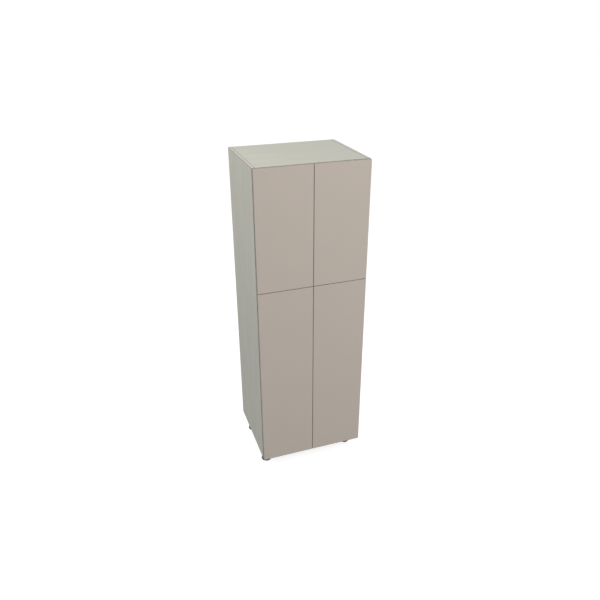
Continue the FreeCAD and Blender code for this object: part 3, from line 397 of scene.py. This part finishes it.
UPRIGHT_GRAIN = (95, 95, 5)
FLAT_GRAIN = (5, 95, 95)
materials = {
    "side": board_material("carcass_board_side", CARCASS, CHIPBOARD, UPRIGHT_GRAIN, "side_panel_left"),
    "cross": board_material(
        "carcass_board_cross", TOP_CARCASS, CHIPBOARD, FLAT_GRAIN, "top_panel", COOL_TINT),
    "middle": board_material("carcass_board_middle", CARCASS, CHIPBOARD, FLAT_GRAIN, "middle_shelf"),
    "shelf": board_material("carcass_board_shelf", CARCASS, CHIPBOARD, FLAT_GRAIN, "shelf_lower"),
    "back": board_material("back_board", CARCASS, FIBREBOARD, UPRIGHT_GRAIN, "back_panel_upper"),
    "lower_door": lacquer_material("door_lacquer_lower", "door_lower_left"),
    "upper_door": lacquer_material("door_lacquer_upper", "door_upper_left"),
    "plated_steel": steel_material(),
    "dark_plastic": plastic_material("dark_plastic", DARK_PLASTIC, DARK_PLASTIC_ROUGHNESS),
    "pale_plastic": plastic_material("pale_plastic", PALE_PLASTIC, PALE_PLASTIC_ROUGHNESS),
    "beech": beech_material(),
}
# How a node's name starts, and its material. The first that fits counts, and the rest follow their slot.
BOARD_KINDS = (
    ("side_panel_", "side"), ("top_panel", "cross"), ("bottom_panel", "cross"), ("middle_shelf", "middle"),
    ("shelf_pins", "plated_steel"), ("shelf_", "shelf"), ("back_panel_", "back"),
    ("door_lower_", "lower_door"), ("door_upper_", "upper_door"),
)


def set_material(thing, material):
    thing.data.materials.clear()
    thing.data.materials.append(material)


for entry in frame["record"]["subparts"]:
    node = entry["node"]
    kinds = [kind for start, kind in BOARD_KINDS if node.startswith(start)] + [entry["material_slot"]]
    set_material(frame["nodes"][node], materials[kinds[0]])

# ------------------------------------------------------------------ softened edges

# Nodes of stamped or moulded pieces, and how wide their sharp edges are rounded.
SOFT_EDGES = (
    ("latch_housings", 0.0008), ("wall_brackets", 0.0004), ("hinge_plates", 0.0004), ("hinge_arms", 0.0003),
    ("leg_sockets", 0.0006),
)
SOFT_EDGE_ANGLE = 40
SOFT_EDGE_SEGMENTS = 2

for node, width in SOFT_EDGES:
    bevel = frame["nodes"][node].modifiers.new("soften", "BEVEL")
    bevel.width = width
    bevel.segments = SOFT_EDGE_SEGMENTS
    bevel.limit_method = "ANGLE"
    bevel.angle_limit = math.radians(SOFT_EDGE_ANGLE)

# ------------------------------------------------------------------ mesh helpers

SHARP_ANGLE = 32


def add_piece(name, mesh, body, material):
    """Puts a finished bmesh into the scene as a piece that rides on a body."""
    bmesh.ops.recalc_face_normals(mesh, faces=mesh.faces)
    data = bpy.data.meshes.new(name)
    mesh.to_mesh(data)
    mesh.free()
    data.shade_smooth()
    data.set_sharp_from_angle(angle=math.radians(SHARP_ANGLE))
    piece = new_object(name, data)
    set_material(piece, materials[material])
    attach(piece, body)
    return piece


def join_rings(mesh, low, high):
    """Closes the wall between two rings with as many points."""
    for step in range(len(low)):
        following = (step + 1) % len(low)
        mesh.faces.new((low[step], low[following], high[following], high[step]))


def lathe(mesh, place, profile, steps, shape=None, ring=False):
    """Turns (radius, height) points round the local Z axis.

    A shape changes each point's radius. A ring profile closes on itself, and any other gets caps."""
    rings = []
    for radius, height in profile:
        points = []
        for step in range(steps):
            angle = 2 * math.pi * step / steps
            reach = shape(radius, height, angle) if shape else radius
            point = Vector((reach * math.cos(angle), reach * math.sin(angle), height))
            points.append(mesh.verts.new(place @ point))
        rings.append(points)
    pairs = list(zip(rings, rings[1:]))
    if ring:
        pairs.append((rings[-1], rings[0]))
    else:
        mesh.faces.new(rings[0])
        mesh.faces.new(rings[-1])
    for low, high in pairs:
        join_rings(mesh, low, high)


def plate(mesh, place, outline, thickness):
    """A flat outline in the local XZ plane, thickened both ways along Y."""
    sides = []
    for offset in (-thickness / 2, thickness / 2):
        sides.append([mesh.verts.new(place @ Vector((x, offset, z))) for x, z in outline])
    for side in sides:
        mesh.faces.new(side)
    join_rings(mesh, *sides)


# ------------------------------------------------------------------ legs

CORNERS = ("front_left", "front_right", "back_left", "back_right")
leg_places = {}
for corner in CORNERS:
    low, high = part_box("foot_" + corner)
    middle = (low + high) / 2
    leg_places[corner] = Matrix.Translation((middle.x, middle.y, 0))

FOOT_STEPS = 96
NOTCH_COUNT = 16
NOTCH_DEPTH = 0.0012
NOTCH_POWER = 2
NOTCH_FROM_RADIUS = 0.0343
NOTCH_HEIGHTS = (0.001, 0.0085)
RIB_COUNT = 8
RIB_HEIGHT = 0.0011
RIB_POWER = 6
RIB_RADII = (0.0185, 0.0335)
RIB_FROM_HEIGHT = 0.0085
STEM_RADIUS = 0.014
STEM_TOP = 0.080
STEM_CHAMFER = 0.001
THREAD_START = 0.0165
THREAD_END = 0.052
THREAD_PITCH = 0.004
THREAD_DEPTH = 0.0012
THREAD_RING = 0.0005

# Radius and height from the ring on the underside, over the rim and the cone, to the foot of the stem.
FOOT_PROFILE = (
    (0.0200, 0.0016), (0.0215, 0.0000), (0.0318, 0.0000), (0.0338, 0.0008), (0.0350, 0.0022),
    (0.0350, 0.0068), (0.0342, 0.0086), (0.0330, 0.0091), (0.0290, 0.0105), (0.0240, 0.0122),
    (0.0190, 0.0140), (0.0172, 0.0150), (0.0150, 0.0152), (0.0140, 0.0160),
)


def foot_radius(radius, height, angle):
    """The rim's finger notches, the ribs on the cone and the stem's thread."""
    if radius > NOTCH_FROM_RADIUS and NOTCH_HEIGHTS[0] < height < NOTCH_HEIGHTS[1]:
        return radius - NOTCH_DEPTH * max(0.0, math.cos(NOTCH_COUNT * angle)) ** NOTCH_POWER
    if RIB_RADII[0] < radius < RIB_RADII[1] and height > RIB_FROM_HEIGHT:
        return radius + RIB_HEIGHT * max(0.0, math.cos(RIB_COUNT * angle)) ** RIB_POWER
    if THREAD_START < height < THREAD_END:
        turn = (height / THREAD_PITCH - angle / (2 * math.pi)) % 1
        return radius - THREAD_DEPTH * abs(2 * turn - 1)
    return radius


def foot_profile():
    """The foot's profile with close rings up its stem, which carry the thread."""
    points = list(FOOT_PROFILE)
    height = THREAD_START
    while height < THREAD_END:
        points.append((STEM_RADIUS, height))
        height += THREAD_RING
    points.append((STEM_RADIUS, THREAD_END))
    points.append((STEM_RADIUS, STEM_TOP - STEM_CHAMFER))
    points.append((STEM_RADIUS - STEM_CHAMFER, STEM_TOP))
    return points


for corner, place in leg_places.items():
    mesh = bmesh.new()
    lathe(mesh, place, foot_profile(), FOOT_STEPS, foot_radius)
    foot = add_piece("levelling_foot_" + corner, mesh, "foot_" + corner, "dark_plastic")
    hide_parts("foot_" + corner)

FLUTE_COUNT = 24
FLUTE_STEPS = 6
FLUTE_DEPTH = 0.0008
FLUTE_FROM_RADIUS = 0.0199
FLUTE_HEIGHTS = (0.0285, 0.0585)
TUBE_BORE = 0.0143
TUBE_RADIUS = 0.0200
tube_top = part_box("leg_tubes")[1].z

# A closed ring: the rounded lower end, the outer face with its fluted part, and the top, back to the bore.
TUBE_PROFILE = (
    (TUBE_BORE, 0.0262), (0.0150, 0.0250), (0.0190, 0.0250), (TUBE_RADIUS, 0.0260), (TUBE_RADIUS, 0.0280),
    (TUBE_RADIUS, 0.0295), (TUBE_RADIUS, 0.0575), (TUBE_RADIUS, 0.0590), (TUBE_RADIUS, tube_top),
    (TUBE_BORE, tube_top),
)


def tube_radius(radius, height, angle):
    """Grip flutes on the part of the tube below its socket."""
    if radius > FLUTE_FROM_RADIUS and FLUTE_HEIGHTS[0] < height < FLUTE_HEIGHTS[1]:
        return radius - FLUTE_DEPTH * max(0.0, math.cos(FLUTE_COUNT * angle))
    return radius


mesh = bmesh.new()
for place in leg_places.values():
    lathe(mesh, place, TUBE_PROFILE, FLUTE_COUNT * FLUTE_STEPS, tube_radius, ring=True)
tubes = add_piece("fluted_leg_tubes", mesh, "carcass", "dark_plastic")
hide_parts("leg_tubes")

# Degrees round a leg, which leave room for the socket's four screws.
FIN_ANGLES = (0, 22, 68, 90, 112, 158, 180, 202, 248, 270, 292, 338)
FIN_OUTLINE = ((0.0236, 0.0632), (0.0252, 0.0632), (0.0346, 0.0985), (0.0346, 0.1013), (0.0236, 0.1013))
FIN_THICKNESS = 0.0018

mesh = bmesh.new()
for place in leg_places.values():
    for angle in FIN_ANGLES:
        plate(mesh, place @ Matrix.Rotation(math.radians(angle), 4, "Z"), FIN_OUTLINE, FIN_THICKNESS)
add_piece("leg_socket_fins", mesh, "carcass", "dark_plastic")

# ------------------------------------------------------------------ hinges

side_low, side_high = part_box("side_panel_left")
CARCASS_FRONT = side_low.y
SIDE_FACE = abs(side_high.x)
HINGE_HEIGHTS = (0.205, 0.731, 1.257, 1.460, 1.9985)
ARM_TOP = 0.013
ADJUSTER_PLACE = 0.031
ADJUSTER_STEPS = 32
RECESS_CORE = 0.45
RECESS_ARMS = 0.55
RECESS_POWER = 3

# Up the side of the head, over its rim and down into its cross recess, whose radii are negative.
ADJUSTER_PROFILE = (
    (0.0029, -0.0010), (0.0029, 0.0003), (0.0025, 0.0006), (-0.0018, 0.0006), (-0.0012, -0.0006),
)


def adjuster_radius(radius, height, angle):
    """Negative radii make the outline of a cross recess."""
    if radius > 0:
        return radius
    return -radius * (RECESS_CORE + RECESS_ARMS * abs(math.cos(2 * angle)) ** RECESS_POWER)


mesh = bmesh.new()
for side in (-1, 1):
    inwards = Matrix.Rotation(-side * math.pi / 2, 4, "Y")
    for height in HINGE_HEIGHTS:
        spot = Vector((side * (SIDE_FACE - ARM_TOP), CARCASS_FRONT + ADJUSTER_PLACE, height))
        lathe(mesh, Matrix.Translation(spot) @ inwards, ADJUSTER_PROFILE, ADJUSTER_STEPS, adjuster_radius)
add_piece("hinge_adjusting_screws", mesh, "carcass", "plated_steel")

# ------------------------------------------------------------------ floor, world and lamps

FLOOR_SPAN = 60.0
FLOOR_TONE = (0.24, 0.24, 0.24, 1)
FLOOR_SHADE = (0.36, 0.36, 0.36, 1)
FLOOR_WHITE = 0.82
WORLD_LIGHT = 0.611
WORLD_WHITE = 1.0
WHITE = (1, 1, 1, 1)

# Name, place, the point it faces, side length and power.
LAMPS = (
    ("lamp_front", (2.53, -4.91, 5.47), (0, 0, 1.5), 2.4, 226.5),
    ("lamp_left", (-2.6, 0.2, 3.7), (-0.3, 0, 1.5), 2.0, 49.5),
)


def empty_tree(owner):
    """A material's or world's node tree without its first nodes."""
    owner.use_nodes = True
    owner.node_tree.nodes.clear()
    return owner.node_tree


def tone(tree, kind, colour, strength=None):
    """A shader node of one colour, and of one strength where it shines."""
    node = tree.nodes.new(kind)
    node.inputs["Color"].default_value = colour
    if strength is not None:
        node.inputs["Strength"].default_value = strength
    return node.outputs[0]


def seen_directly(tree):
    """1 for rays from the camera, from reflections and through glass, and 0 for the light's own paths."""
    path = tree.nodes.new("ShaderNodeLightPath")
    total = path.outputs["Is Camera Ray"]
    for name in ("Is Glossy Ray", "Is Transmission Ray"):
        node = tree.nodes.new("ShaderNodeMath")
        node.operation = "MAXIMUM"
        tree.links.new(total, node.inputs[0])
        tree.links.new(path.outputs[name], node.inputs[1])
        total = node.outputs[0]
    return total


def show(tree, output, for_light, for_sight):
    """Gives the light's own paths one shader, and the camera, reflections and glass the other."""
    chosen = tree.nodes.new("ShaderNodeMixShader")
    for socket, source in zip(chosen.inputs, (seen_directly(tree), for_light, for_sight)):
        tree.links.new(source, socket)
    tree.links.new(chosen.outputs[0], tree.nodes.new(output).inputs["Surface"])


def make_floor():
    """A plain pale floor that is seen white and still keeps the unit's soft shadow."""
    mesh = bpy.data.meshes.new("floor")
    half = FLOOR_SPAN / 2
    corners = [(-half, -half, 0), (half, -half, 0), (half, half, 0), (-half, half, 0)]
    mesh.from_pydata(corners, [], [(0, 1, 2, 3)])
    floor = new_object("floor", mesh)
    material = bpy.data.materials.new("floor")
    tree = empty_tree(material)
    shadowed = tree.nodes.new("ShaderNodeAddShader")
    tree.links.new(tone(tree, "ShaderNodeEmission", WHITE, FLOOR_WHITE), shadowed.inputs[0])
    tree.links.new(tone(tree, "ShaderNodeBsdfDiffuse", FLOOR_SHADE), shadowed.inputs[1])
    dull = tone(tree, "ShaderNodeBsdfDiffuse", FLOOR_TONE)
    show(tree, "ShaderNodeOutputMaterial", dull, shadowed.outputs[0])
    mesh.materials.append(material)


def make_world():
    """An even light that is seen as white."""
    world = bpy.data.worlds.new("world")
    bpy.context.scene.world = world
    tree = empty_tree(world)
    light = tone(tree, "ShaderNodeBackground", WHITE, WORLD_LIGHT)
    white = tone(tree, "ShaderNodeBackground", WHITE, WORLD_WHITE)
    show(tree, "ShaderNodeOutputWorld", light, white)


def soft_lamp(name, place, target, side, power):
    """A square area lamp that faces a point."""
    data = bpy.data.lights.new(name, "AREA")
    data.size = side
    data.energy = power
    lamp = new_object(name, data)
    lamp.location = place
    lamp.rotation_euler = (Vector(target) - Vector(place)).to_track_quat("-Z", "Y").to_euler()
    lamp.visible_camera = False


make_floor()
make_world()
for lamp in LAMPS:
    soft_lamp(*lamp)
